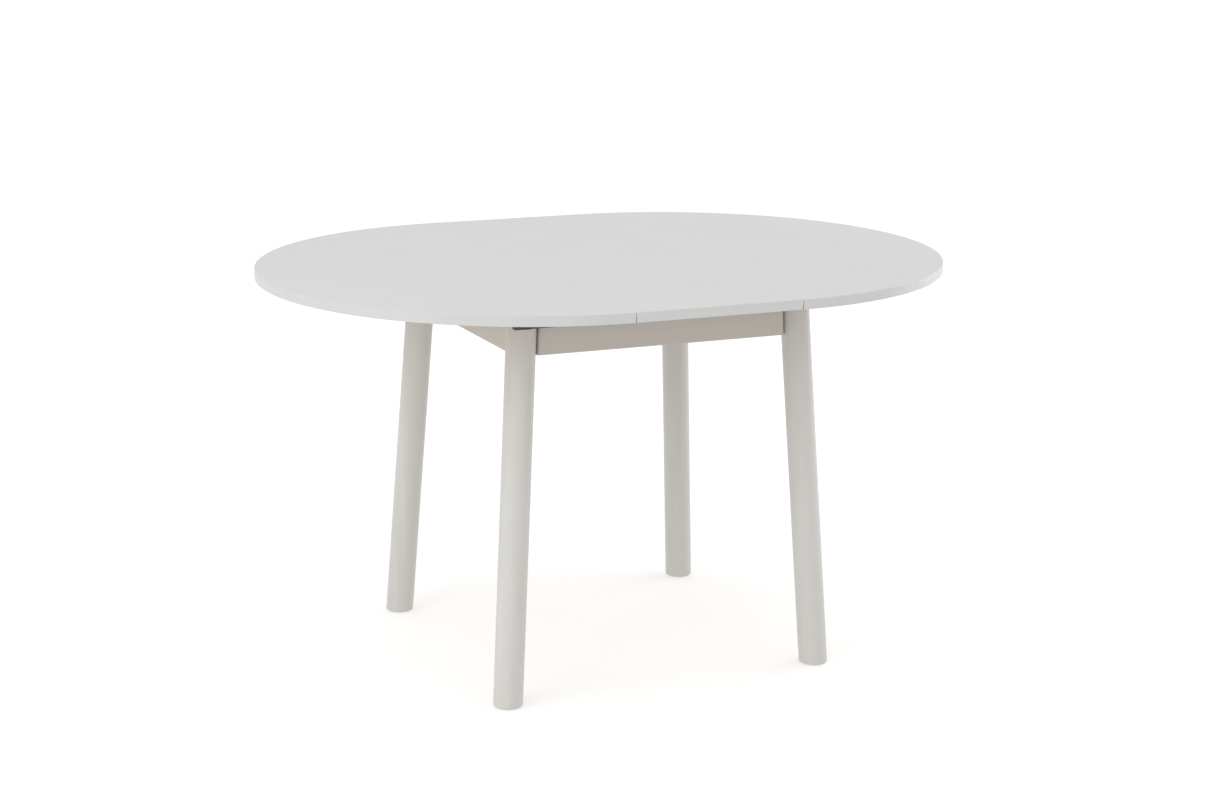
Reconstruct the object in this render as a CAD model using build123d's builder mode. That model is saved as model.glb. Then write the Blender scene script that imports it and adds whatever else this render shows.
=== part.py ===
from build123d import *
import os
from math import atan, cos, pi, radians, sin, sqrt, tan

os.makedirs("parts", exist_ok=True)

# An extendable dining table: a round top in two halves, opened on runners, with one leaf between them.
# +Z is up and z = 0 is the floor. X is the way it extends. The front is -Y.
# It is drawn opened, with its leaf in.

# Overall sizes
TABLE_HEIGHT = 750.0
TOP_RADIUS = 500.0
TOP_THICKNESS = 18.0
LEAF_WIDTH = 320.0

# Panels
BAND = 2.0  # thickness of the edge bands
EASED_EDGE = 0.8
OVERSHOOT = 1.0  # how far a cut runs past the piece that it cuts
SEAM = 0.3  # gap between the leaf and each half
LEAF_UNDERCUT = 5.9  # degrees, so that the leaf lifts out freely
SLAB_BOTTOM = TABLE_HEIGHT - TOP_THICKNESS
HALF_LEAF = LEAF_WIDTH / 2

# Frame
FRAME_TOP = 728.0
APRON_BOTTOM = 636.0
APRON_THICKNESS = 20.0
LONG_APRON_FACE = 272.0  # outer face, from the middle
SHORT_APRON_FACE = 285.0
LONG_APRON_END = 258.0
SHORT_APRON_END = 246.0
LONG_APRON_INNER = LONG_APRON_FACE - APRON_THICKNESS
SHORT_APRON_INNER = SHORT_APRON_FACE - APRON_THICKNESS
APRON_ARRIS = 1.0  # rounding of its lower edges
TONGUE_SETBACK = 9.0  # an apron's end is a tongue, this far behind its outer face
SHOULDER_GAP = 1.8  # shadow gap between an apron's shoulder and its leg
SHOULDER_ROUNDING = 5.0

# Legs
LEG_RADIUS = 27.0
LEG_TOP = (269.0, 256.5)
LEG_FOOT = (312.0, 298.0)
FOOT_ROUNDING = 3.5
GLIDE_HEIGHT = 2.0
GLIDE_RADIUS = 17.0
JOINT_GAP = 0.8  # slack round an apron's tongue in its leg

# Corner blocks and their bolts
BLOCK_FACE = 352.0  # distance of the face that meets the leg, along the corner's diagonal
BLOCK_BACK = 332.0
BLOCK_BOTTOM = 640.0
BLOCK_TOP = 686.0
BOLT_RADIUS = 4.0
BOLT_HEIGHTS = (652.0, 674.0)
BOLT_INNER_END = 318.0
BOLT_OUTER_END = 374.0
BOLT_OFFSET = 9.0  # sideways from the diagonal, so that the bolt meets the leg's axis
LEG_HOLE_RADIUS = 4.05
BLOCK_HOLE_RADIUS = 4.5
WASHER_RADIUS = 9.0
WASHER_THICKNESS = 1.6
NUT_FLATS = 13.0
NUT_THICKNESS = 6.5

# Guide rails
RAIL_Y = 192.5
RAIL_THICKNESS = 8.0
RAIL_BOTTOM = 690.0
RAIL_TOP = 727.0
TONGUE_REACH = 8.0
TONGUE_BOTTOM = 706.0
TONGUE_TOP = 712.0
CROSS_RAIL_BOTTOM = 670.0
CROSS_RAIL_WIDTH = 50.0
CROSS_RAIL_ARRIS = 2.0
BRACKET_WIDTH = 10.0
BRACKET_THICKNESS = 2.0
BRACKET_ARM = 24.0

# Bearing rails on the long aprons, let into the tops of the legs
BEARING_FACE = 284.0
BEARING_END = 293.0
BEARING_BOTTOM = 687.5
BEARING_TOP = 727.0
BEARING_ARRIS = 1.0
BEARING_SCREW_X = (-200.0, -70.0, 70.0, 200.0)
BEARING_SCREW_LENGTH = 12.0
BEARING_SCREW_HEAD_HEIGHT = 2.0

# Runners
RUNNER_WIDTH = 18.0
RUNNER_BOTTOM = 700.0
RUNNER_OUTER_END = 430.0
RUNNER_INNER_END = 90.0
RUNNER_GAP = 1.0  # between a runner and a rail's web
GROOVE_DEPTH = 8.5
GROOVE_SLACK = 0.2
NOTCH_SLACK = 1.0

# Synchronising gear and racks
MODULE = 2.5
TEETH = 24
PRESSURE_ANGLE = 20.0
BACKLASH = 0.3
PITCH_RADIUS = MODULE * TEETH / 2
GEAR_BOTTOM = 714.0
GEAR_TOP = 726.0
SHAFT_RADIUS = 4.0
SHAFT_CLEARANCE = 0.05
SHAFT_TOP = 726.3
GEAR_LIFT = 0.5  # the gear runs this far above the post's step
POST_RADIUS = 8.0
POST_FLANGE_RADIUS = 18.0
POST_FLANGE_THICKNESS = 4.0
CAP_RADIUS = 7.0
CAP_THICKNESS = 3.0
CAP_CHAMFER = 0.5
FLANK_STEPS = 6  # straight runs in one flank of a gear tooth
TOOTH_ROOT_OVERLAP = 2.0
RACK_OUTER_END = 255.0
RACK_INNER_END = 25.0
INNER_RACK_TEETH = 3  # on the far side of the middle when the table is open
RACK_BACK = 45.0  # distance of the rack's plain side from the middle
RACK_SKIM = 0.5  # the rack's free part clears the leaf by this much

# Screws into the panels
SCREW_RADIUS = 1.75
SCREW_HOLE_RADIUS = 1.8
SCREW_HEAD_RADIUS = 3.5
SCREW_HEAD_HEIGHT = 2.5
SCREW_HEAD_SPACE = 3.75
SOCKET_RADIUS = 1.6
SOCKET_DEPTH = 1.5
SCREW_SINK = 4.0
SCREW_BITE = 10.0
RUNNER_SCREW_X = (-400.0, -295.0, -190.0)
RACK_SCREW_X = (-240.0, -180.0)

# Latches
LATCH_SPREAD = 22.0  # from the leaf's edge to a latch's pivot, and to its peg
LATCH_PIVOT_X = HALF_LEAF + LATCH_SPREAD
PEG_X = HALF_LEAF - LATCH_SPREAD
PEG_RADIUS = 3.0
LATCH_OUTER_Y = 380.0
LATCH_INNER_Y = 300.0
LATCH_WIDTH = 14.0
LATCH_BOTTOM = 724.0
LATCH_TOP = 728.0
LATCH_TIP = 5.0  # how far the hook's round end lies beyond the peg
PEG_SLACK = 0.8
NOTCH_WIDTH = 8.6
PLATE_THICKNESS = 1.5
PLATE_SIZE = 26.0
PLATE_CORNER = 3.0
RIVET_RADIUS = 2.5
RIVET_HOLE_RADIUS = 2.55
RIVET_HEAD_RADIUS = 4.5
RIVET_HEAD_BOTTOM = 722.0
RIVET_GAP = 0.3  # between a latch and its rivet's head
PEG_BOTTOM = 722.0

# Leaf locating blocks
LOCATOR_INNER = 216.5
LOCATOR_OUTER = 231.5
LOCATOR_LENGTH = 60.0
LOCATOR_BOTTOM = 716.0
LOCATOR_CHAMFER = 2.0

CORNERS = {
    "front_left": (-1, -1),
    "front_right": (1, -1),
    "back_left": (-1, 1),
    "back_right": (1, 1),
}


def save(piece, name):
    """Label a finished piece and write it to its own file."""
    piece.part.label = name
    export_step(piece.part, f"parts/{name}.step")


def half_turned(source):
    """The same piece turned half a turn about Z: the other side of the table."""
    with BuildPart() as piece:
        add(source.part, rotation=(0, 0, 180))
    return piece


def slab(x_range, y_range, z_range, mode=Mode.ADD):
    """A box between stated limits, inside the current part."""
    with BuildSketch(Plane.XY.offset(z_range[0]), mode=Mode.PRIVATE) as outline:
        with Locations(((x_range[0] + x_range[1]) / 2, (y_range[0] + y_range[1]) / 2)):
            Rectangle(x_range[1] - x_range[0], y_range[1] - y_range[0])
    extrude(outline.sketch, amount=z_range[1] - z_range[0], mode=mode)


def rod(centre, radius, z_range, mode=Mode.ADD):
    """An upright cylinder inside the current part."""
    with BuildSketch(Plane.XY.offset(z_range[0]), mode=Mode.PRIVATE) as outline:
        with Locations(centre):
            Circle(radius)
    extrude(outline.sketch, amount=z_range[1] - z_range[0], mode=mode)


# ---------------------------------------------------------------- legs


def diagonal_plane(corner, distance, height):
    """A plane that faces outwards along a corner's diagonal, on the bolts' line."""
    sx, sy = corner
    along = distance / sqrt(2)
    aside = BOLT_OFFSET / sqrt(2)
    centre = (sx * (along + aside), sy * (along - aside), height)
    return Plane(origin=centre, x_dir=(0, 0, 1), z_dir=(sx, sy, 0))


for name, corner in CORNERS.items():
    sx, sy = corner
    foot = Vector(sx * LEG_FOOT[0], sy * LEG_FOOT[1], 0)
    top = Vector(sx * LEG_TOP[0], sy * LEG_TOP[1], FRAME_TOP)
    below_floor = foot - (top - foot) * 0.1
    overlength = (top - foot).length * 1.2
    long_end = LONG_APRON_END + JOINT_GAP
    short_end = SHORT_APRON_END + JOINT_GAP
    pocket = (APRON_BOTTOM - JOINT_GAP, FRAME_TOP + OVERSHOOT)
    long_tongue = (LONG_APRON_INNER - JOINT_GAP, LONG_APRON_FACE - TONGUE_SETBACK + JOINT_GAP)
    short_tongue = (SHORT_APRON_INNER - JOINT_GAP, SHORT_APRON_FACE - TONGUE_SETBACK + JOINT_GAP)

    with BuildPart() as leg:
        with BuildSketch(Plane(origin=below_floor, z_dir=top - foot)):
            Circle(LEG_RADIUS)
        extrude(amount=overlength)
        split(bisect_by=Plane.XY.offset(FRAME_TOP), keep=Keep.BOTTOM)
        split(bisect_by=Plane.XY.offset(GLIDE_HEIGHT), keep=Keep.TOP)
        fillet(leg.edges().group_by(Axis.Z)[0], radius=FOOT_ROUNDING)
        # Open-topped pockets for the two aprons' tongues
        slab(
            sorted((0, sx * long_end)),
            sorted((sy * long_tongue[0], sy * long_tongue[1])),
            pocket,
            Mode.SUBTRACT,
        )
        slab(
            sorted((sx * short_tongue[0], sx * short_tongue[1])),
            sorted((0, sy * short_end)),
            pocket,
            Mode.SUBTRACT,
        )
        # Notch for the end of the bearing rail
        slab(
            sorted((0, sx * (BEARING_END + JOINT_GAP))),
            sorted((sy * LONG_APRON_FACE, sy * (LONG_APRON_FACE + LEG_RADIUS))),
            (BEARING_BOTTOM, FRAME_TOP + OVERSHOOT),
            Mode.SUBTRACT,
        )
        # Flat that sits against the corner block
        with BuildSketch(Plane.XY.offset(APRON_BOTTOM)):
            with BuildLine():
                reach = BLOCK_FACE * sqrt(2)
                Polyline((0, 0), (sx * reach, 0), (0, sy * reach), close=True)
            make_face()
        extrude(amount=FRAME_TOP, mode=Mode.SUBTRACT)
        for height in BOLT_HEIGHTS:
            with BuildSketch(diagonal_plane(corner, BLOCK_BACK, height)):
                Circle(LEG_HOLE_RADIUS)
            extrude(amount=BOLT_OUTER_END - BLOCK_BACK, mode=Mode.SUBTRACT)
    save(leg, f"leg_{name}")

    with BuildPart() as glide:
        rod((sx * LEG_FOOT[0], sy * LEG_FOOT[1]), GLIDE_RADIUS, (0, GLIDE_HEIGHT))
        chamfer(glide.edges().group_by(Axis.Z)[0], length=GLIDE_HEIGHT / 4)
    save(glide, f"glide_{name}")

    with BuildPart() as block:
        with BuildSketch(Plane.XY.offset(BLOCK_BOTTOM)):
            with BuildLine():
                face = BLOCK_FACE * sqrt(2)
                back = BLOCK_BACK * sqrt(2)
                Polyline(
                    (sx * (face - LONG_APRON_INNER), sy * LONG_APRON_INNER),
                    (sx * SHORT_APRON_INNER, sy * (face - SHORT_APRON_INNER)),
                    (sx * SHORT_APRON_INNER, sy * (back - SHORT_APRON_INNER)),
                    (sx * (back - LONG_APRON_INNER), sy * LONG_APRON_INNER),
                    close=True,
                )
            make_face()
        extrude(amount=BLOCK_TOP - BLOCK_BOTTOM)
        for height in BOLT_HEIGHTS:
            with BuildSketch(diagonal_plane(corner, BLOCK_BACK - OVERSHOOT, height)):
                Circle(BLOCK_HOLE_RADIUS)
            extrude(amount=BLOCK_FACE - BLOCK_BACK + 2 * OVERSHOOT, mode=Mode.SUBTRACT)
    save(block, f"corner_block_{name}")


def at_each_bolt(distance):
    """The planes of all eight hanger bolts at one distance along their diagonals."""
    corners = CORNERS.values()
    return [diagonal_plane(corner, distance, height) for corner in corners for height in BOLT_HEIGHTS]


with BuildPart() as hanger_bolts:
    for plane in at_each_bolt(BOLT_INNER_END):
        with BuildSketch(plane):
            Circle(BOLT_RADIUS)
        extrude(amount=BOLT_OUTER_END - BOLT_INNER_END)
save(hanger_bolts, "hanger_bolts")

with BuildPart() as hanger_washers:
    for plane in at_each_bolt(BLOCK_BACK - WASHER_THICKNESS):
        with BuildSketch(plane):
            Circle(WASHER_RADIUS)
            Circle(BLOCK_HOLE_RADIUS, mode=Mode.SUBTRACT)
        extrude(amount=WASHER_THICKNESS)
save(hanger_washers, "hanger_washers")

with BuildPart() as hanger_nuts:
    for plane in at_each_bolt(BLOCK_BACK - WASHER_THICKNESS - NUT_THICKNESS):
        with BuildSketch(plane):
            RegularPolygon(NUT_FLATS / 2, 6, major_radius=False)
            Circle(LEG_HOLE_RADIUS, mode=Mode.SUBTRACT)
        extrude(amount=NUT_THICKNESS)
save(hanger_nuts, "hanger_nuts")

# ---------------------------------------------------------------- aprons


def shoulder_reach(height, face, along):
    """How far from the middle an apron's shoulder reaches at a height, along X (0) or Y (1)."""
    share = (FRAME_TOP - height) / FRAME_TOP
    axis = [top_end + (foot_end - top_end) * share for top_end, foot_end in zip(LEG_TOP, LEG_FOOT)]
    aside = face - TONGUE_SETBACK - axis[1 - along]
    return axis[along] - sqrt(LEG_RADIUS**2 - aside**2) - SHOULDER_GAP


def cut_shoulders(outer_plane, inwards, face, end, along):
    """Thins both ends of an apron to a tongue, inside the current part. The cut leans as the leg does."""
    upper = shoulder_reach(FRAME_TOP, face, along)
    lower = shoulder_reach(APRON_BOTTOM, face, along)
    with BuildSketch(outer_plane, mode=Mode.PRIVATE) as ends:
        for turn in (-1, 1):
            with BuildLine():
                Polyline(
                    (turn * upper, FRAME_TOP),
                    (turn * lower, APRON_BOTTOM),
                    (turn * end, APRON_BOTTOM),
                    (turn * end, FRAME_TOP),
                    close=True,
                )
            make_face()
    extrude(ends.sketch, amount=inwards * TONGUE_SETBACK, mode=Mode.SUBTRACT)


def bearing_screw_planes(side, distance):
    """Planes facing outwards at the four screws of one bearing rail."""
    height = (BEARING_BOTTOM + BEARING_TOP) / 2
    return [Plane(origin=(x, side * distance, height), z_dir=(0, side, 0)) for x in BEARING_SCREW_X]


for name, side in (("front", -1), ("back", 1)):
    screw_end = LONG_APRON_FACE - BEARING_SCREW_LENGTH
    with BuildPart() as apron:
        slab(
            (-LONG_APRON_END, LONG_APRON_END),
            sorted((side * LONG_APRON_INNER, side * LONG_APRON_FACE)),
            (APRON_BOTTOM, FRAME_TOP),
        )
        outer_plane = Plane.XZ.offset(-side * LONG_APRON_FACE)
        cut_shoulders(outer_plane, side, LONG_APRON_FACE, LONG_APRON_END, 0)
        outer_face = apron.faces().filter_by(Axis.Y).sort_by(lambda face: side * face.center().Y)[-1]
        upright = outer_face.edges().sort_by(Axis.X)
        fillet((upright[0], upright[-1]), radius=SHOULDER_ROUNDING)
        fillet(apron.edges().filter_by(Axis.X).group_by(Axis.Z)[0], radius=APRON_ARRIS)
        for plane in bearing_screw_planes(side, screw_end):
            with BuildSketch(plane):
                Circle(SCREW_HOLE_RADIUS)
            extrude(amount=BEARING_SCREW_LENGTH, mode=Mode.SUBTRACT)
    save(apron, f"apron_{name}")

    with BuildPart() as bearing_rail:
        slab(
            (-BEARING_END, BEARING_END),
            sorted((side * LONG_APRON_FACE, side * BEARING_FACE)),
            (BEARING_BOTTOM, BEARING_TOP),
        )
        fillet(bearing_rail.edges().filter_by(Axis.X), radius=BEARING_ARRIS)
        for plane in bearing_screw_planes(side, LONG_APRON_FACE):
            with BuildSketch(plane):
                Circle(SCREW_HOLE_RADIUS)
            extrude(amount=BEARING_FACE - LONG_APRON_FACE, mode=Mode.SUBTRACT)
    save(bearing_rail, f"bearing_rail_{name}")

    with BuildPart() as bearing_screws:
        for plane in bearing_screw_planes(side, screw_end):
            with BuildSketch(plane):
                Circle(SCREW_RADIUS)
            extrude(amount=BEARING_FACE - screw_end)
        for plane in bearing_screw_planes(side, BEARING_FACE):
            with BuildSketch(plane):
                Circle(SCREW_HEAD_RADIUS)
            extrude(amount=BEARING_SCREW_HEAD_HEIGHT)
    save(bearing_screws, f"bearing_screws_{name}")

OUTER_LANE = RAIL_Y + RAIL_THICKNESS / 2 + RUNNER_GAP + RUNNER_WIDTH / 2
INNER_LANE = RAIL_Y - RAIL_THICKNESS / 2 - RUNNER_GAP - RUNNER_WIDTH / 2
LEFT_LANES = {"front": -OUTER_LANE, "back": INNER_LANE}

with BuildPart() as apron_left:
    slab(
        (-SHORT_APRON_FACE, -SHORT_APRON_INNER),
        (-SHORT_APRON_END, SHORT_APRON_END),
        (APRON_BOTTOM, FRAME_TOP),
    )
    cut_shoulders(Plane.YZ.offset(-SHORT_APRON_FACE), 1, SHORT_APRON_FACE, SHORT_APRON_END, 1)
    upright = apron_left.faces().filter_by(Axis.X).sort_by(Axis.X)[0].edges().sort_by(Axis.Y)
    fillet((upright[0], upright[-1]), radius=SHOULDER_ROUNDING)
    fillet(apron_left.edges().filter_by(Axis.Y).group_by(Axis.Z)[0], radius=APRON_ARRIS)
    for lane in LEFT_LANES.values():
        notch = RUNNER_WIDTH / 2 + NOTCH_SLACK
        slab(
            (-SHORT_APRON_FACE - OVERSHOOT, -SHORT_APRON_INNER + OVERSHOOT),
            (lane - notch, lane + notch),
            (RUNNER_BOTTOM - NOTCH_SLACK, FRAME_TOP + OVERSHOOT),
            Mode.SUBTRACT,
        )
save(apron_left, "apron_left")
save(half_turned(apron_left), "apron_right")

# ---------------------------------------------------------------- guide rails

for name, side in (("front", -1), ("back", 1)):
    rail_y = side * RAIL_Y
    web = RAIL_THICKNESS / 2
    with BuildPart() as guide_rail:
        slab(
            (-SHORT_APRON_INNER, SHORT_APRON_INNER),
            (rail_y - web, rail_y + web),
            (RAIL_BOTTOM, RAIL_TOP),
        )
        slab(
            (-SHORT_APRON_INNER, SHORT_APRON_INNER),
            (rail_y - web - TONGUE_REACH, rail_y + web + TONGUE_REACH),
            (TONGUE_BOTTOM, TONGUE_TOP),
        )
    save(guide_rail, f"guide_rail_{name}")

with BuildPart() as rail_brackets:
    for sx, sy in CORNERS.values():
        across = (sy * RAIL_Y - BRACKET_WIDTH / 2, sy * RAIL_Y + BRACKET_WIDTH / 2)
        slab(
            sorted((sx * SHORT_APRON_INNER, sx * (SHORT_APRON_INNER - BRACKET_ARM))),
            across,
            (RAIL_BOTTOM - BRACKET_THICKNESS, RAIL_BOTTOM),
        )
        slab(
            sorted((sx * SHORT_APRON_INNER, sx * (SHORT_APRON_INNER - BRACKET_THICKNESS))),
            across,
            (RAIL_BOTTOM - BRACKET_ARM, RAIL_BOTTOM),
        )
save(rail_brackets, "rail_brackets")

with BuildPart() as cross_rail:
    slab(
        (-CROSS_RAIL_WIDTH / 2, CROSS_RAIL_WIDTH / 2),
        (-LONG_APRON_INNER, LONG_APRON_INNER),
        (CROSS_RAIL_BOTTOM, RAIL_BOTTOM),
    )
    fillet(cross_rail.edges().filter_by(Axis.Y).group_by(Axis.Z)[0], radius=CROSS_RAIL_ARRIS)
save(cross_rail, "cross_rail")

# ---------------------------------------------------------------- panels

SCREW_TIP_SPACE = SLAB_BOTTOM + SCREW_BITE + OVERSHOOT
RUNNER_SCREWS = [(x, lane - GROOVE_DEPTH / 2) for lane in LEFT_LANES.values() for x in RUNNER_SCREW_X]
RACK_SCREWS = [(x, -(RACK_BACK + PITCH_RADIUS + MODULE) / 2) for x in RACK_SCREW_X]

with BuildPart() as top_left:
    with BuildSketch(Plane.XY.offset(SLAB_BOTTOM)):
        with Locations((-HALF_LEAF, 0)):
            Circle(TOP_RADIUS - BAND)
            with Locations((TOP_RADIUS, 0)):
                Rectangle(2 * TOP_RADIUS, 2 * TOP_RADIUS, mode=Mode.SUBTRACT)
    extrude(amount=TOP_THICKNESS)
    for centre in RUNNER_SCREWS + RACK_SCREWS:
        rod(centre, SCREW_HOLE_RADIUS, (SLAB_BOTTOM, SCREW_TIP_SPACE), Mode.SUBTRACT)
save(top_left, "top_left")
save(half_turned(top_left), "top_right")

with BuildPart() as band_left:
    with BuildSketch(Plane.XY.offset(SLAB_BOTTOM)):
        with Locations((-HALF_LEAF, 0)):
            Circle(TOP_RADIUS)
            Circle(TOP_RADIUS - BAND, mode=Mode.SUBTRACT)
            with Locations((TOP_RADIUS, 0)):
                Rectangle(2 * TOP_RADIUS, 2 * (TOP_RADIUS + OVERSHOOT), mode=Mode.SUBTRACT)
    extrude(amount=TOP_THICKNESS)
    outer_arcs = band_left.edges().filter_by(GeomType.CIRCLE).group_by(SortBy.RADIUS)[-1]
    fillet(outer_arcs, radius=EASED_EDGE)
save(band_left, "edge_band_left")
save(half_turned(band_left), "edge_band_right")

LEAF_HALF_TOP = HALF_LEAF - SEAM
LEAF_HALF_BOTTOM = LEAF_HALF_TOP - TOP_THICKNESS * tan(radians(LEAF_UNDERCUT))


def leaf_strip(y_from, y_to):
    """A length of the leaf's section, which is narrower underneath, inside the current part."""
    with BuildSketch(Plane.XZ.offset(-y_from), mode=Mode.PRIVATE) as section:
        with BuildLine():
            Polyline(
                (-LEAF_HALF_BOTTOM, SLAB_BOTTOM),
                (LEAF_HALF_BOTTOM, SLAB_BOTTOM),
                (LEAF_HALF_TOP, TABLE_HEIGHT),
                (-LEAF_HALF_TOP, TABLE_HEIGHT),
                close=True,
            )
        make_face()
    extrude(section.sketch, amount=y_from - y_to)


with BuildPart() as leaf_panel:
    leaf_strip(-(TOP_RADIUS - BAND), TOP_RADIUS - BAND)
save(leaf_panel, "leaf_panel")

with BuildPart() as leaf_band_front:
    leaf_strip(-TOP_RADIUS, -(TOP_RADIUS - BAND))
    fillet(leaf_band_front.edges().filter_by(Axis.X).group_by(Axis.Y)[0], radius=EASED_EDGE)
save(leaf_band_front, "leaf_band_front")
save(half_turned(leaf_band_front), "leaf_band_back")

for name, side in (("front", -1), ("back", 1)):
    with BuildPart() as locator:
        slab(
            (-LOCATOR_LENGTH / 2, LOCATOR_LENGTH / 2),
            sorted((side * LOCATOR_INNER, side * LOCATOR_OUTER)),
            (LOCATOR_BOTTOM, SLAB_BOTTOM),
        )
        chamfer(locator.edges().group_by(Axis.Z)[0], length=LOCATOR_CHAMFER)
    save(locator, f"leaf_locator_{name}")

# ---------------------------------------------------------------- runners

for name, lane in LEFT_LANES.items():
    # The groove is on the side of the rail that is nearer the back.
    with BuildPart() as runner:
        slab(
            (-RUNNER_OUTER_END, RUNNER_INNER_END),
            (lane - RUNNER_WIDTH / 2, lane + RUNNER_WIDTH / 2),
            (RUNNER_BOTTOM, SLAB_BOTTOM),
        )
        slab(
            (-RUNNER_OUTER_END - OVERSHOOT, RUNNER_INNER_END + OVERSHOOT),
            (lane + RUNNER_WIDTH / 2 - GROOVE_DEPTH, lane + RUNNER_WIDTH / 2 + OVERSHOOT),
            (TONGUE_BOTTOM - GROOVE_SLACK, TONGUE_TOP + GROOVE_SLACK),
            Mode.SUBTRACT,
        )
        for x in RUNNER_SCREW_X:
            centre = (x, lane - GROOVE_DEPTH / 2)
            rod(centre, SCREW_HOLE_RADIUS, (RUNNER_BOTTOM, SLAB_BOTTOM), Mode.SUBTRACT)
            rod(centre, SCREW_HEAD_SPACE, (RUNNER_BOTTOM, RUNNER_BOTTOM + SCREW_SINK), Mode.SUBTRACT)
    other = {"front": "back", "back": "front"}[name]
    save(runner, f"runner_left_{name}")
    save(half_turned(runner), f"runner_right_{other}")

# ---------------------------------------------------------------- gear and racks

TOOTH_PITCH = pi * MODULE
ADDENDUM = MODULE
DEDENDUM = 1.25 * MODULE
FLANK = tan(radians(PRESSURE_ANGLE))
RACK_TOOTH_HALF = TOOTH_PITCH / 4 - BACKLASH / 4
RACK_TIP = PITCH_RADIUS - ADDENDUM
RACK_ROOT = PITCH_RADIUS + DEDENDUM

with BuildPart() as rack_left:
    slab((-RACK_OUTER_END, RACK_INNER_END), (-RACK_BACK, -RACK_ROOT), (GEAR_BOTTOM, SLAB_BOTTOM))
    with BuildSketch(Plane.XY.offset(GEAR_BOTTOM)):
        # A tooth space faces the gear's own tooth at x = 0.
        outer_teeth = round(HALF_LEAF / TOOTH_PITCH) + 2
        for step in range(-outer_teeth, INNER_RACK_TEETH):
            with BuildLine(mode=Mode.PRIVATE) as tooth:
                middle = (step + 0.5) * TOOTH_PITCH
                root_half = RACK_TOOTH_HALF + DEDENDUM * FLANK
                tip_half = RACK_TOOTH_HALF - ADDENDUM * FLANK
                Polyline(
                    (middle - root_half, -RACK_ROOT),
                    (middle + root_half, -RACK_ROOT),
                    (middle + tip_half, -RACK_TIP),
                    (middle - tip_half, -RACK_TIP),
                    close=True,
                )
            make_face(tooth.line)
    extrude(amount=SLAB_BOTTOM - GEAR_BOTTOM)
    slab(
        (-HALF_LEAF, RACK_INNER_END + OVERSHOOT),
        (-RACK_BACK - OVERSHOOT, 0),
        (SLAB_BOTTOM - RACK_SKIM, SLAB_BOTTOM + OVERSHOOT),
        Mode.SUBTRACT,
    )
    for centre in RACK_SCREWS:
        rod(centre, SCREW_HOLE_RADIUS, (GEAR_BOTTOM, SLAB_BOTTOM), Mode.SUBTRACT)
        rod(centre, SCREW_HEAD_SPACE, (GEAR_BOTTOM, GEAR_BOTTOM + SCREW_SINK), Mode.SUBTRACT)
save(rack_left, "rack_left")
save(half_turned(rack_left), "rack_right")

BASE_RADIUS = PITCH_RADIUS * cos(radians(PRESSURE_ANGLE))
ROOT_RADIUS = PITCH_RADIUS - DEDENDUM
TIP_RADIUS = PITCH_RADIUS + ADDENDUM
INVOLUTE_AT_PITCH = FLANK - radians(PRESSURE_ANGLE)
GEAR_TOOTH_HALF = (TOOTH_PITCH / 2 - BACKLASH / 2) / (2 * PITCH_RADIUS)


def flank_point(radius, side):
    """A point on one flank of the gear's tooth, from the involute's formula."""
    roll = sqrt((radius / BASE_RADIUS) ** 2 - 1)
    involute = roll - atan(roll)
    angle = side * (GEAR_TOOTH_HALF + INVOLUTE_AT_PITCH - involute)
    return (radius * cos(angle), radius * sin(angle))


with BuildPart() as gear:
    with BuildSketch(Plane.XY.offset(GEAR_BOTTOM)):
        Circle(ROOT_RADIUS)
        step = (TIP_RADIUS - BASE_RADIUS) / FLANK_STEPS
        radii = [BASE_RADIUS + step * i for i in range(FLANK_STEPS + 1)]
        with BuildLine(mode=Mode.PRIVATE) as gear_tooth:
            lower = [flank_point(r, -1) for r in radii]
            upper = [flank_point(r, 1) for r in reversed(radii)]
            foot_half = lower[0][1]
            foot_radius = ROOT_RADIUS - TOOTH_ROOT_OVERLAP
            Polyline((foot_radius, foot_half), *lower, *upper, (foot_radius, -foot_half), close=True)
        with BuildSketch(mode=Mode.PRIVATE) as tooth_face:
            make_face(gear_tooth.line)
        with PolarLocations(0, TEETH):
            add(tooth_face.sketch)
    extrude(amount=GEAR_TOP - GEAR_BOTTOM)
    rod((0, 0), SHAFT_RADIUS + SHAFT_CLEARANCE, (GEAR_BOTTOM, GEAR_TOP), Mode.SUBTRACT)
save(gear, "gear")

with BuildPart() as gear_post:
    flange_top = RAIL_BOTTOM + POST_FLANGE_THICKNESS
    step_height = GEAR_BOTTOM - GEAR_LIFT
    rod((0, 0), POST_FLANGE_RADIUS, (RAIL_BOTTOM, flange_top))
    rod((0, 0), POST_RADIUS, (flange_top, step_height))
    rod((0, 0), SHAFT_RADIUS, (step_height, SHAFT_TOP))
save(gear_post, "gear_post")

with BuildPart() as gear_cap:
    rod((0, 0), CAP_RADIUS, (SHAFT_TOP, SHAFT_TOP + CAP_THICKNESS))
    chamfer(gear_cap.edges().group_by(Axis.Z)[-1], length=CAP_CHAMFER)
save(gear_cap, "gear_cap")

# ---------------------------------------------------------------- screws


def screw(centre, underside):
    """A countersunk wood screw that stands up into a panel, inside the current part."""
    head_bottom = underside + SCREW_SINK - SCREW_HEAD_HEIGHT
    rod(centre, SCREW_HEAD_RADIUS, (head_bottom, underside + SCREW_SINK))
    rod(centre, SCREW_RADIUS, (underside + SCREW_SINK, SLAB_BOTTOM + SCREW_BITE))
    with BuildSketch(Plane.XY.offset(head_bottom), mode=Mode.PRIVATE) as socket:
        with Locations(centre):
            RegularPolygon(SOCKET_RADIUS, 6)
    extrude(socket.sketch, amount=SOCKET_DEPTH, mode=Mode.SUBTRACT)


with BuildPart() as screws_left:
    for centre in RUNNER_SCREWS:
        screw(centre, RUNNER_BOTTOM)
    for centre in RACK_SCREWS:
        screw(centre, GEAR_BOTTOM)
save(screws_left, "screws_left")
save(half_turned(screws_left), "screws_right")

# ---------------------------------------------------------------- latches

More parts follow.
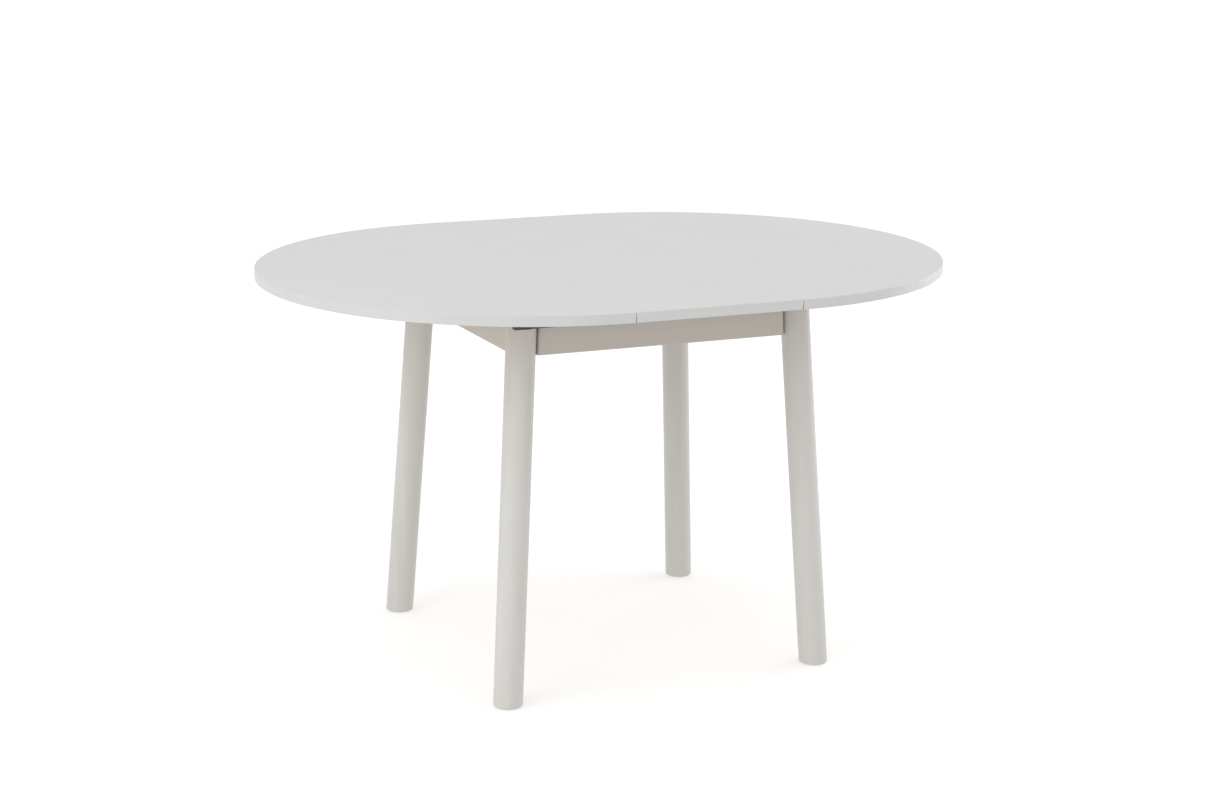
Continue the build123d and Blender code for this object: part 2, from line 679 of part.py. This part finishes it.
LEFT_LATCHES = {"front": (-LATCH_INNER_Y, -1), "back": (LATCH_OUTER_Y, 1)}
PLATE_BOTTOM = SLAB_BOTTOM - PLATE_THICKNESS


def plate(centre):
    """A small plate under a panel, inside the current part."""
    with BuildSketch(Plane.XY.offset(PLATE_BOTTOM), mode=Mode.PRIVATE) as outline:
        with Locations(centre):
            RectangleRounded(PLATE_SIZE, PLATE_SIZE, PLATE_CORNER)
    extrude(outline.sketch, amount=PLATE_THICKNESS)


with BuildPart() as latch_plates_left:
    for y in (-LATCH_INNER_Y, LATCH_OUTER_Y):
        centre = (-LATCH_PIVOT_X, y)
        plate(centre)
        rod(centre, RIVET_RADIUS, (RIVET_HEAD_BOTTOM, PLATE_BOTTOM))
        rod(centre, RIVET_HEAD_RADIUS, (RIVET_HEAD_BOTTOM, LATCH_BOTTOM - RIVET_GAP))
save(latch_plates_left, "latch_plates_left")
save(half_turned(latch_plates_left), "latch_plates_right")

for name, (y, outwards) in LEFT_LATCHES.items():
    with BuildPart() as latch:
        with BuildSketch(Plane.XY.offset(LATCH_BOTTOM)):
            with Locations(((LATCH_TIP - LATCH_PIVOT_X - PEG_X) / 2, y)):
                SlotCenterToCenter(LATCH_PIVOT_X - PEG_X + LATCH_TIP, LATCH_WIDTH)
            # The notch opens towards the middle of the table, so that the latch swings outwards.
            notch_closed_end = PEG_RADIUS + PEG_SLACK
            with Locations((-PEG_X, y + outwards * (notch_closed_end - LATCH_WIDTH / 2))):
                Rectangle(NOTCH_WIDTH, LATCH_WIDTH, mode=Mode.SUBTRACT)
            with Locations((-LATCH_PIVOT_X, y)):
                Circle(RIVET_HOLE_RADIUS, mode=Mode.SUBTRACT)
        extrude(amount=LATCH_TOP - LATCH_BOTTOM)
    other = {"front": "back", "back": "front"}[name]
    save(latch, f"latch_left_{name}")
    save(half_turned(latch), f"latch_right_{other}")

with BuildPart() as latch_pegs:
    for turn in (1, -1):
        for y in (-LATCH_INNER_Y, LATCH_OUTER_Y):
            centre = (-turn * PEG_X, turn * y)
            plate(centre)
            rod(centre, PEG_RADIUS, (PEG_BOTTOM, PLATE_BOTTOM))
save(latch_pegs, "latch_pegs")
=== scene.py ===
import math

import bmesh
import bpy
from mathutils import Matrix, Vector


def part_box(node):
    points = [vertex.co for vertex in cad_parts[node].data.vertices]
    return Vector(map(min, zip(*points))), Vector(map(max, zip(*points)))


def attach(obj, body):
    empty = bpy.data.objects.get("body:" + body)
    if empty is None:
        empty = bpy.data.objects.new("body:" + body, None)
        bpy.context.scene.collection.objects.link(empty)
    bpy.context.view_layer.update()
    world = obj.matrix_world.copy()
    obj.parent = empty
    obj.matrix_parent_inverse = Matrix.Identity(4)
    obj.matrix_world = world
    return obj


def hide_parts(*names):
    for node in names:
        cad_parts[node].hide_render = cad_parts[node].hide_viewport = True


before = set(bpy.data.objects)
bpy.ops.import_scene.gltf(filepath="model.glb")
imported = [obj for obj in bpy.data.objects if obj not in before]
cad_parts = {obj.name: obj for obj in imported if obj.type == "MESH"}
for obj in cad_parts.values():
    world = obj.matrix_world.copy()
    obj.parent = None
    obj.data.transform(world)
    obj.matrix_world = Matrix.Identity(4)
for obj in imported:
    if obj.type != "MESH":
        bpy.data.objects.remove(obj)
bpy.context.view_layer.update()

# An extendable dining table. The CAD nodes get their finishes here, and the bolts, nuts, washers
# and bearing rail screws are replaced by detailed ones. Lengths are in metres.

# ---------------------------------------------------------------- camera and light

CAMERA_PLACE = Vector((-1.828, -4.134, 1.552))
CAMERA_HEADING = math.radians(-23.97)
CAMERA_TILT = math.radians(13.52)
CAMERA_ROLL = math.radians(0.56)
LENS_MM = 71.87
SENSOR_MM = 36.0

WHITE = (1.0, 1.0, 1.0, 1.0)
HORIZON_STRENGTH = 0.82
ZENITH_STRENGTH = 1.25

LAMP_SIZE = 2.4
LAMP_AIM = Vector((0.0, 0.0, 0.4))
KEY_PLACE = Vector((-3.2, -1.4, 2.0))
KEY_WATTS = 42
FILL_PLACE = Vector((3.2, 0.2, 1.3))
FILL_WATTS = 31


def make_camera():
    data = bpy.data.cameras.new("camera")
    data.lens = LENS_MM
    data.sensor_width = SENSOR_MM
    camera = bpy.data.objects.new("camera", data)
    turn = (
        Matrix.Rotation(CAMERA_HEADING, 4, "Z")
        @ Matrix.Rotation(math.pi / 2 - CAMERA_TILT, 4, "X")
        @ Matrix.Rotation(CAMERA_ROLL, 4, "Z")
    )
    camera.matrix_world = Matrix.Translation(CAMERA_PLACE) @ turn
    bpy.context.scene.collection.objects.link(camera)
    bpy.context.scene.camera = camera


def soft_box(name, place, watts):
    """A large square lamp that points at the table."""
    data = bpy.data.lights.new(name, "AREA")
    data.shape = "SQUARE"
    data.size = LAMP_SIZE
    data.energy = watts
    lamp = bpy.data.objects.new(name, data)
    lamp.location = place
    lamp.rotation_mode = "QUATERNION"
    lamp.rotation_quaternion = (LAMP_AIM - place).to_track_quat("-Z", "Y")
    bpy.context.scene.collection.objects.link(lamp)


def make_light():
    """A white studio, brighter overhead than at the horizon, with a soft lamp on each side."""
    world = bpy.data.worlds.new("studio")
    world.use_nodes = True
    nodes = world.node_tree.nodes
    links = world.node_tree.links
    background = nodes["Background"]
    background.inputs["Color"].default_value = WHITE
    direction = nodes.new("ShaderNodeTexCoord").outputs["Generated"]
    split = nodes.new("ShaderNodeSeparateXYZ")
    links.new(direction, split.inputs["Vector"])
    strength = nodes.new("ShaderNodeMapRange")
    strength.inputs["To Min"].default_value = HORIZON_STRENGTH
    strength.inputs["To Max"].default_value = ZENITH_STRENGTH
    links.new(split.outputs["Z"], strength.inputs["Value"])
    links.new(strength.outputs["Result"], background.inputs["Strength"])
    bpy.context.scene.world = world
    soft_box("key", KEY_PLACE, KEY_WATTS)
    soft_box("fill", FILL_PLACE, FILL_WATTS)
    bpy.context.scene.view_settings.view_transform = "Standard"


# ---------------------------------------------------------------- material helpers

# Socket numbers of a Mix node that mixes colours
MIX_FACTOR = 0
MIX_COLOURS = (6, 7)
MIX_RESULT = 2


class Shader:
    """A material with a Principled shader and short ways to add nodes to it."""

    def __init__(self, name, roughness, metallic=0.0):
        self.material = bpy.data.materials.new(name)
        self.material.use_nodes = True
        tree = self.material.node_tree
        self.nodes = tree.nodes
        self.links = tree.links
        self.main = self.nodes["Principled BSDF"]
        self.main.inputs["Roughness"].default_value = roughness
        self.main.inputs["Metallic"].default_value = metallic
        self.place = self.nodes.new("ShaderNodeTexCoord").outputs["Object"]

    def set(self, socket, value):
        self.links.new(value, self.main.inputs[socket])

    def stretched(self, lengths, turn=0.0):
        """Object coordinates turned about Z, with patterns drawn out along each axis by lengths."""
        mapping = self.nodes.new("ShaderNodeMapping")
        mapping.vector_type = "TEXTURE"
        mapping.inputs["Rotation"].default_value = (0.0, 0.0, turn)
        mapping.inputs["Scale"].default_value = lengths
        self.links.new(self.place, mapping.inputs["Vector"])
        return mapping.outputs["Vector"]

    def height(self):
        """The height above the floor, at rest."""
        node = self.nodes.new("ShaderNodeSeparateXYZ")
        self.links.new(self.place, node.inputs["Vector"])
        return node.outputs["Z"]

    def noise(self, scale, detail, rough=0.5, vector=None):
        node = self.nodes.new("ShaderNodeTexNoise")
        node.inputs["Scale"].default_value = scale
        node.inputs["Detail"].default_value = detail
        node.inputs["Roughness"].default_value = rough
        self.links.new(vector or self.place, node.inputs["Vector"])
        return node.outputs["Fac"]

    def ramp(self, value, colours, start, end):
        """Turns a value into colours at even steps from start to end."""
        node = self.nodes.new("ShaderNodeValToRGB")
        elements = node.color_ramp.elements
        while len(elements) < len(colours):
            elements.new(0.5)
        for i, (element, colour) in enumerate(zip(elements, colours)):
            element.position = start + (end - start) * i / (len(colours) - 1)
            element.color = (*colour, 1.0)
        self.links.new(value, node.inputs["Fac"])
        return node.outputs["Color"]

    def span(self, value, low, high, from_low=0.3, from_high=0.7):
        """Maps a value from one range to another. Noise stays between about 0.3 and 0.7."""
        node = self.nodes.new("ShaderNodeMapRange")
        node.inputs["From Min"].default_value = from_low
        node.inputs["From Max"].default_value = from_high
        node.inputs["To Min"].default_value = low
        node.inputs["To Max"].default_value = high
        self.links.new(value, node.inputs["Value"])
        return node.outputs["Result"]

    def product(self, value_a, value_b):
        node = self.nodes.new("ShaderNodeMath")
        node.operation = "MULTIPLY"
        self.links.new(value_a, node.inputs[0])
        self.links.new(value_b, node.inputs[1])
        return node.outputs["Value"]

    def mixed(self, factor, colour_a, colour_b):
        """Mixes two colours. Each is a node's output or an (r, g, b)."""
        node = self.nodes.new("ShaderNodeMix")
        node.data_type = "RGBA"
        self.links.new(factor, node.inputs[MIX_FACTOR])
        for number, colour in zip(MIX_COLOURS, (colour_a, colour_b)):
            if isinstance(colour, tuple):
                node.inputs[number].default_value = (*colour, 1.0)
            else:
                self.links.new(colour, node.inputs[number])
        return node.outputs[MIX_RESULT]

    def bump(self, height, strength, distance):
        """Adds a bump layer over the ones already there."""
        node = self.nodes.new("ShaderNodeBump")
        node.inputs["Strength"].default_value = strength
        node.inputs["Distance"].default_value = distance
        self.links.new(height, node.inputs["Height"])
        normal = self.main.inputs["Normal"]
        if normal.is_linked:
            self.links.new(normal.links[0].from_socket, node.inputs["Normal"])
        self.links.new(node.outputs["Normal"], normal)


# ---------------------------------------------------------------- materials

BOARD_WHITES = ((0.500, 0.500, 0.502), (0.508, 0.508, 0.510))
FOIL_TANS = ((0.36, 0.240, 0.138), (0.42, 0.285, 0.168))
EDGING_WHITES = ((0.49, 0.49, 0.482), (0.51, 0.51, 0.502))
LEG_PAINT = ((0.499, 0.491, 0.470), (0.540, 0.532, 0.511))
# Painted shade: the long apron paint is the leg paint made darker and warmer, for the shade under the
# overhanging top.
LONG_APRON_PAINT_WITH_PAINTED_SHADE = ((0.477, 0.448, 0.412), (0.517, 0.488, 0.452))
# Painted shade: the short apron paint is the leg paint made darker and more yellow, for the shade
# under the top.
SHORT_APRON_PAINT_WITH_PAINTED_SHADE = ((0.470, 0.430, 0.368), (0.508, 0.468, 0.406))
GRAIN_TINT = (0.42, 0.39, 0.34)
SCUFF_TINT = (0.38, 0.36, 0.33)
BEECH_TONES = ((0.42, 0.27, 0.145), (0.56, 0.385, 0.22), (0.64, 0.46, 0.28))
BEECH_FLECK = (0.30, 0.17, 0.085)
ZINC_TONES = ((0.50, 0.52, 0.56), (0.62, 0.62, 0.61), (0.66, 0.62, 0.54))
GEAR_WHITE = (0.72, 0.71, 0.67)
GLIDE_GREY = (0.60, 0.585, 0.54)
POST_BLACK = (0.045, 0.045, 0.047)
MOTTLE = 0.86  # how bright the darker patches of nylon are, against its colour
FLOOR_GREYS = ((0.44, 0.44, 0.44), (0.46, 0.46, 0.46))

# The foil covers the lowest part of each panel, and its edge is as sharp as FOIL_EDGE
SLAB_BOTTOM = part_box("leaf_panel")[0].z
FOIL_TOP = SLAB_BOTTOM + 0.0004
FOIL_EDGE = 0.00004

# Scuffs thin out from the floor to SCUFFED_HEIGHT
SCUFFED_HEIGHT = 0.12
SCUFF_STRENGTH = 0.3

# How far a grain is drawn out, along each axis
ALONG_X = (16.0, 1.0, 1.0)
ALONG_Y = (1.0, 16.0, 1.0)
ALONG_Z = (1.0, 1.0, 16.0)
DIAGONAL = math.radians(45)


def lacquered_board():
    """White satin lacquer with a faint orange peel, on a board with a tan foil under it."""
    s = Shader("white_lacquer", roughness=0.38)
    white = s.ramp(s.noise(scale=3.0, detail=3.0), BOARD_WHITES, 0.35, 0.65)
    foil = s.ramp(s.noise(scale=120.0, detail=5.0, rough=0.6), FOIL_TANS, 0.35, 0.65)
    above_foil = s.span(s.height(), 0.0, 1.0, FOIL_TOP, FOIL_TOP + FOIL_EDGE)
    s.set("Base Color", s.mixed(above_foil, foil, white))
    rubbed = s.noise(scale=14.0, detail=6.0, rough=0.6)
    s.set("Roughness", s.span(rubbed, 0.38, 0.45))
    s.bump(s.noise(scale=420.0, detail=2.0), strength=0.10, distance=0.0004)
    s.bump(s.noise(scale=9.0, detail=2.0), strength=0.06, distance=0.002)
    return s.material


def edging():
    """White plastic edging with a fine pebble."""
    s = Shader("white_edging", roughness=0.42)
    s.set("Base Color", s.ramp(s.noise(scale=8.0, detail=3.0), EDGING_WHITES, 0.35, 0.65))
    s.set("Roughness", s.span(s.noise(scale=60.0, detail=3.0), 0.38, 0.5))
    s.bump(s.noise(scale=900.0, detail=2.0), strength=0.15, distance=0.0003)
    return s.material


def painted_wood(name, stretch, tones):
    """Warm off-white paint over wood: the grain just shows, and there are scuffs near the floor."""
    s = Shader(name, roughness=0.42)
    along = s.stretched(stretch)
    grain = s.noise(scale=55.0, detail=5.0, rough=0.6, vector=along)
    streaks = s.noise(scale=16.0, detail=3.0, vector=along)
    base = s.ramp(streaks, tones, 0.3, 0.7)
    grained = s.mixed(s.span(grain, 0.0, 0.22), base, GRAIN_TINT)
    patches = s.noise(scale=70.0, detail=6.0, rough=0.65)
    scuffs = s.span(patches, 0.0, 1.0, 0.56, 0.66)
    near_floor = s.span(s.height(), SCUFF_STRENGTH, 0.0, 0.0, SCUFFED_HEIGHT)
    s.set("Base Color", s.mixed(s.product(scuffs, near_floor), grained, SCUFF_TINT))
    s.set("Roughness", s.span(s.noise(scale=30.0, detail=4.0), 0.36, 0.5))
    s.bump(grain, strength=0.32, distance=0.0006)
    s.bump(s.noise(scale=350.0, detail=2.0), strength=0.08, distance=0.0003)
    return s.material


def bare_beech(name, stretch, turn=0.0):
    """Planed beech: warm streaks and short darker flecks along one axis."""
    s = Shader(name, roughness=0.62)
    along = s.stretched(stretch, turn)
    streaks = s.noise(scale=30.0, detail=6.0, rough=0.6, vector=along)
    flecks = s.noise(scale=220.0, detail=2.0, vector=along)
    base = s.ramp(streaks, BEECH_TONES, 0.3, 0.7)
    s.set("Base Color", s.mixed(s.span(flecks, 0.0, 0.45, 0.55, 0.75), base, BEECH_FLECK))
    s.set("Roughness", s.span(streaks, 0.55, 0.7))
    s.bump(flecks, strength=0.3, distance=0.0004)
    s.bump(streaks, strength=0.2, distance=0.0006)
    return s.material


def zinc_plate():
    """Bright zinc plating with a faint yellow and blue bloom and fine drawing lines."""
    s = Shader("zinc_plate", roughness=0.34, metallic=0.9)
    s.set("Base Color", s.ramp(s.noise(scale=110.0, detail=5.0), ZINC_TONES, 0.3, 0.7))
    lines = s.noise(scale=2600.0, detail=2.0, vector=s.stretched(ALONG_Y))
    s.set("Roughness", s.span(lines, 0.28, 0.44))
    s.bump(lines, strength=0.05, distance=0.00006)
    return s.material


def nylon(name, colour, roughness):
    """Moulded nylon: a slightly mottled colour with a fine spark-eroded grain."""
    s = Shader(name, roughness)
    darker = tuple(MOTTLE * channel for channel in colour)
    s.set("Base Color", s.ramp(s.noise(scale=40.0, detail=4.0), (darker, colour), 0.35, 0.65))
    patches = s.noise(scale=180.0, detail=3.0)
    s.set("Roughness", s.span(patches, roughness - 0.06, roughness + 0.08))
    s.bump(s.noise(scale=1200.0, detail=2.0), strength=0.2, distance=0.0002)
    return s.material


def finish_cad_nodes():
    """Gives every CAD node its material, and returns the zinc one."""
    board = lacquered_board()
    band = edging()
    upright_paint = painted_wood("frame_paint_upright", ALONG_Z, LEG_PAINT)
    # Painted shade: the long aprons get a darker, warmer copy of the leg paint.
    long_paint_with_painted_shade = painted_wood("frame_paint_long_painted_shade", ALONG_X, LONG_APRON_PAINT_WITH_PAINTED_SHADE)
    # Painted shade: the short aprons get a darker, more yellow copy of the leg paint.
    short_paint_with_painted_shade = painted_wood("frame_paint_short_painted_shade", ALONG_Y, SHORT_APRON_PAINT_WITH_PAINTED_SHADE)
    beech_long = bare_beech("beech_long", ALONG_X)
    beech_cross = bare_beech("beech_cross", ALONG_Y)
    beech_rising = bare_beech("beech_diagonal_rising", ALONG_X, DIAGONAL)
    beech_falling = bare_beech("beech_diagonal_falling", ALONG_X, -DIAGONAL)
    zinc = zinc_plate()
    gear_nylon = nylon("gear_nylon", GEAR_WHITE, 0.45)
    glide_nylon = nylon("glide_nylon", GLIDE_GREY, 0.5)
    post_nylon = nylon("post_nylon", POST_BLACK, 0.42)
    # A node takes the first start that fits its name, and zinc if none does
    by_start = (
        ("top_", board),
        ("leaf_panel", board),
        ("edge_band", band),
        ("leaf_band", band),
        ("leg_", upright_paint),
        # The long aprons take the paint that holds painted shade.
        ("apron_front", long_paint_with_painted_shade),
        ("apron_back", long_paint_with_painted_shade),
        # The short aprons take the paint that holds painted shade.
        ("apron_", short_paint_with_painted_shade),
        ("cross_rail", beech_cross),
        ("corner_block_front_left", beech_falling),
        ("corner_block_back_right", beech_falling),
        ("corner_block", beech_rising),
        ("guide_rail", beech_long),
        ("runner_", beech_long),
        ("leaf_locator", beech_long),
        ("rack_", gear_nylon),
        ("bearing_rail", post_nylon),
        ("gear_post", post_nylon),
        ("gear_cap", zinc),
        ("gear", gear_nylon),
        ("glide_", glide_nylon),
    )
    for name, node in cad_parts.items():
        found = next((material for start, material in by_start if name.startswith(start)), zinc)
        node.data.materials.clear()
        node.data.materials.append(found)
    return zinc


# ---------------------------------------------------------------- fasteners

RING_STEPS = 48
SHARP_ANGLE = math.radians(32)
WELD_DISTANCE = 1e-6

BOLT_RADIUS = 0.004
BOLT_LENGTH = 0.056
THREAD_LENGTH = 0.020
THREAD_PITCH = 0.00125
THREAD_DEPTH = 0.0007
THREAD_STEPS = 6  # rings in one pitch

NUT_INRADIUS = 0.0065
NUT_HEIGHT = 0.0065
NUT_FACE_RADIUS = 0.0062
NUT_SHOULDER_SLOPE = math.tan(math.radians(30))
NUT_BORE = 0.00405
BORE_CHAMFER = 0.0004

WASHER_RADIUS = 0.009
WASHER_BORE = 0.0045
WASHER_HEIGHT = 0.0016
WASHER_ROUNDING = 0.0003

SCREW_HEAD_RADIUS = 0.0026
SCREW_HEAD_HEIGHT = 0.0011
HEAD_DOME = 0.75  # 0 gives a flat head, and 1 gives half an ellipsoid
HEAD_RING_SHARES = (1.0, 0.92, 0.8, 0.7, 0.64, 0.56, 0.44, 0.32, 0.22, 0.12, 0.05)
RECESS_DEPTH = 0.0008
RECESS_REACH = 0.0017
RECESS_WIDTH = 0.0006

LATCH_NODES = (
    ("latch_plates_left", "left_top"),
    ("latch_plates_right", "right_top"),
    ("latch_pegs", "leaf"),
)
PLATE_SCREW_OFFSET = 0.0092
PLATE_BOTTOM = SLAB_BOTTOM - 0.0015

BRACKET_THICKNESS = 0.002
BRACKET_SCREW_REACH = 0.015

BEARING_HEAD_SCALE = 1.3
BEARING_SHANK_RADIUS = 0.00175


def solid_centres(node_name):
    """The centre of each separate solid in a CAD node."""
    bm = bmesh.new()
    bm.from_mesh(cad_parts[node_name].data)
    bmesh.ops.remove_doubles(bm, verts=bm.verts, dist=WELD_DISTANCE)
    unseen = set(bm.verts)
    centres = []
    while unseen:
        island = [unseen.pop()]
        for vertex in island:
            for edge in vertex.link_edges:
                other = edge.other_vert(vertex)
                if other in unseen:
                    unseen.remove(other)
                    island.append(other)
        axes = [[vertex.co[i] for vertex in island] for i in range(3)]
        centres.append(Vector([(min(axis) + max(axis)) / 2 for axis in axes]))
    bm.free()
    return sorted(centres, key=tuple)


def placed(centre, axis):
    """The matrix that puts a shape made along +Z at centre, along axis."""
    return Matrix.Translation(centre) @ Vector(axis).to_track_quat("Z", "Y").to_matrix().to_4x4()


def circle(radius, z):
    """A ring about the axis; radius is a number or a function of the angle, and so is z."""
    ring = []
    for step in range(RING_STEPS):
        angle = 2 * math.pi * step / RING_STEPS
        r = radius(angle) if callable(radius) else radius
        h = z(angle) if callable(z) else z
        ring.append((r * math.cos(angle), r * math.sin(angle), h))
    return ring


def skin(bm, rings, matrix, ends="capped"):
    """Joins rings of points into a closed skin: capped at both ends, or joined from last to first."""
    made = [[bm.verts.new(matrix @ Vector(point)) for point in ring] for ring in rings]
    pairs = list(zip(made, made[1:]))
    if ends == "joined":
        pairs.append((made[-1], made[0]))
    for lower, upper in pairs:
        for i in range(len(lower)):
            k = (i + 1) % len(lower)
            bm.faces.new((lower[i], lower[k], upper[k], upper[i]))
    if ends == "capped":
        bm.faces.new(reversed(made[0]))
        bm.faces.new(made[-1])


def make_piece(name, bm, body, material, replaced=()):
    """Turns a bmesh into a zinc piece of the object, shaded smooth except at its sharp edges."""
    bmesh.ops.recalc_face_normals(bm, faces=bm.faces)
    for face in bm.faces:
        face.smooth = True
    for edge in bm.edges:
        edge.smooth = edge.calc_face_angle(0.0) < SHARP_ANGLE
    mesh = bpy.data.meshes.new(name)
    bm.to_mesh(mesh)
    bm.free()
    mesh.materials.append(material)
    piece = bpy.data.objects.new(name, mesh)
    bpy.context.scene.collection.objects.link(piece)
    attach(piece, body)
    if replaced:
        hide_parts(*replaced)


def add_bolt(bm, matrix):
    """A hanger bolt with a cut thread at its nut end, which is its lower end."""
    bottom = -BOLT_LENGTH / 2

    def thread_radius(z):
        def radius(angle):
            phase = (z / THREAD_PITCH - angle / (2 * math.pi)) % 1.0
            return BOLT_RADIUS - THREAD_DEPTH * abs(2 * phase - 1)
        return radius

    core = BOLT_RADIUS - THREAD_DEPTH
    count = round(THREAD_LENGTH / THREAD_PITCH * THREAD_STEPS)
    rings = [circle(core - THREAD_DEPTH / 2, bottom)]
    for i in range(1, count):
        z = i * THREAD_PITCH / THREAD_STEPS
        rings.append(circle(thread_radius(z), bottom + z))
    shank_start = bottom + THREAD_LENGTH
    rings += [circle(core, shank_start), circle(BOLT_RADIUS, shank_start + THREAD_DEPTH)]
    rings += [circle(BOLT_RADIUS, -bottom - THREAD_DEPTH), circle(core, -bottom)]
    skin(bm, rings, matrix)


def add_nut(bm, matrix):
    """A hexagon nut, its corners turned off on both faces."""
    def hexagon(angle):
        from_flat = (angle + math.pi / 6) % (math.pi / 3) - math.pi / 6
        return NUT_INRADIUS / math.cos(from_flat)

    def shoulder(angle):
        past_face = max(0.0, hexagon(angle) - NUT_FACE_RADIUS)
        return NUT_HEIGHT / 2 - past_face * NUT_SHOULDER_SLOPE

    top = NUT_HEIGHT / 2
    mouth = NUT_BORE + BORE_CHAMFER
    rings = [
        circle(NUT_BORE, BORE_CHAMFER - top),
        circle(mouth, -top),
        circle(NUT_FACE_RADIUS, -top),
        circle(hexagon, lambda angle: -shoulder(angle)),
        circle(hexagon, shoulder),
        circle(NUT_FACE_RADIUS, top),
        circle(mouth, top),
        circle(NUT_BORE, top - BORE_CHAMFER),
    ]
    skin(bm, rings, matrix, "joined")


def add_washer(bm, matrix):
    """A punched washer with slightly rounded rims."""
    face = WASHER_HEIGHT / 2
    rim = face - WASHER_ROUNDING
    rings = [
        circle(WASHER_BORE, -rim),
        circle(WASHER_BORE + WASHER_ROUNDING, -face),
        circle(WASHER_RADIUS - WASHER_ROUNDING, -face),
        circle(WASHER_RADIUS, -rim),
        circle(WASHER_RADIUS, rim),
        circle(WASHER_RADIUS - WASHER_ROUNDING, face),
        circle(WASHER_BORE + WASHER_ROUNDING, face),
        circle(WASHER_BORE, rim),
    ]
    skin(bm, rings, matrix, "joined")


def add_screw_head(bm, matrix):
    """A domed screw head with a cross recess. Its flat side is at z = 0."""
    def recessed(radius, height):
        def z(angle):
            x = abs(radius * math.cos(angle))
            y = abs(radius * math.sin(angle))
            in_slot = min(x, y) < RECESS_WIDTH / 2 and max(x, y) < RECESS_REACH
            return height - RECESS_DEPTH if in_slot else height
        return z

    rings = [circle(SCREW_HEAD_RADIUS, 0.0)]
    for share in HEAD_RING_SHARES:
        radius = SCREW_HEAD_RADIUS * share
        height = SCREW_HEAD_HEIGHT * math.sqrt(1 - HEAD_DOME * share**2)
        rings.append(circle(radius, recessed(radius, height)))
    skin(bm, rings, matrix)


def make_hanger_fasteners(zinc):
    """Threaded bolts, turned nuts and washers in place of the plain CAD ones."""
    for kind, add in (("bolts", add_bolt), ("nuts", add_nut), ("washers", add_washer)):
        node = f"hanger_{kind}"
        bm = bmesh.new()
        for centre in solid_centres(node):
            outwards = (math.copysign(1, centre.x), math.copysign(1, centre.y), 0)
            add(bm, placed(centre, outwards))
        make_piece(f"detailed_{kind}", bm, "frame", zinc, (node,))


def make_plate_screws(zinc):
    """Two small screws in each latch plate and peg plate, at opposite corners."""
    for node, body in LATCH_NODES:
        bm = bmesh.new()
        for centre in solid_centres(node):
            for offset in (-PLATE_SCREW_OFFSET, PLATE_SCREW_OFFSET):
                spot = (centre.x + offset, centre.y + offset, PLATE_BOTTOM)
                add_screw_head(bm, placed(spot, (0, 0, -1)))
        make_piece(node.replace("latch", "latch_screws_on"), bm, body, zinc)


def make_bracket_screws(zinc):
    """One screw up into the guide rail and one into the end apron, through each angle bracket."""
    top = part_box("rail_brackets")[1]
    bm = bmesh.new()
    for centre in solid_centres("rail_brackets"):
        outwards = math.copysign(1, centre.x)
        screw_x = outwards * (top.x - BRACKET_SCREW_REACH)
        face_x = outwards * (top.x - BRACKET_THICKNESS)
        under = (screw_x, centre.y, top.z - BRACKET_THICKNESS)
        beside = (face_x, centre.y, top.z - BRACKET_SCREW_REACH)
        add_screw_head(bm, placed(under, (0, 0, -1)))
        add_screw_head(bm, placed(beside, (-outwards, 0, 0)))
    make_piece("bracket_screws", bm, "frame", zinc)


def make_bearing_screws(zinc):
    """Domed screws with cross recesses in place of the plain CAD ones in the bearing rails."""
    for side, outwards, outer, inner in (("front", -1, 0, 1), ("back", 1, 1, 0)):
        node = f"bearing_screws_{side}"
        face_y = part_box(f"bearing_rail_{side}")[outer].y
        tip_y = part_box(node)[inner].y
        shank = [circle(BEARING_SHANK_RADIUS, z) for z in (-abs(face_y - tip_y), 0.0)]
        bm = bmesh.new()
        for centre in solid_centres(node):
            spot = placed((centre.x, face_y, centre.z), (0, outwards, 0))
            add_screw_head(bm, spot @ Matrix.Scale(BEARING_HEAD_SCALE, 4))
            skin(bm, shank, spot)
        make_piece(f"detailed_{node}", bm, "frame", zinc, (node,))


# ---------------------------------------------------------------- floor

FLOOR_REACH = 40.0
FLOOR_GLOW = 0.56


def make_floor():
    """A matt white sheet that glows a little, so that it stays as white as the studio."""
    mesh = bpy.data.meshes.new("floor")
    corners = [(x * FLOOR_REACH, y * FLOOR_REACH, 0) for x, y in ((-1, -1), (1, -1), (1, 1), (-1, 1))]
    mesh.from_pydata(corners, [], [(0, 1, 2, 3)])
    floor = bpy.data.objects.new("floor", mesh)
    bpy.context.scene.collection.objects.link(floor)
    s = Shader("floor_paper", roughness=0.9)
    s.set("Base Color", s.ramp(s.noise(scale=2.0, detail=2.0), FLOOR_GREYS, 0.3, 0.7))
    s.main.inputs["Specular IOR Level"].default_value = 0.0
    s.main.inputs["Emission Color"].default_value = WHITE
    s.main.inputs["Emission Strength"].default_value = FLOOR_GLOW
    mesh.materials.append(s.material)


make_camera()
make_light()
ZINC = finish_cad_nodes()
make_hanger_fasteners(ZINC)
make_plate_screws(ZINC)
make_bracket_screws(ZINC)
make_bearing_screws(ZINC)
make_floor()
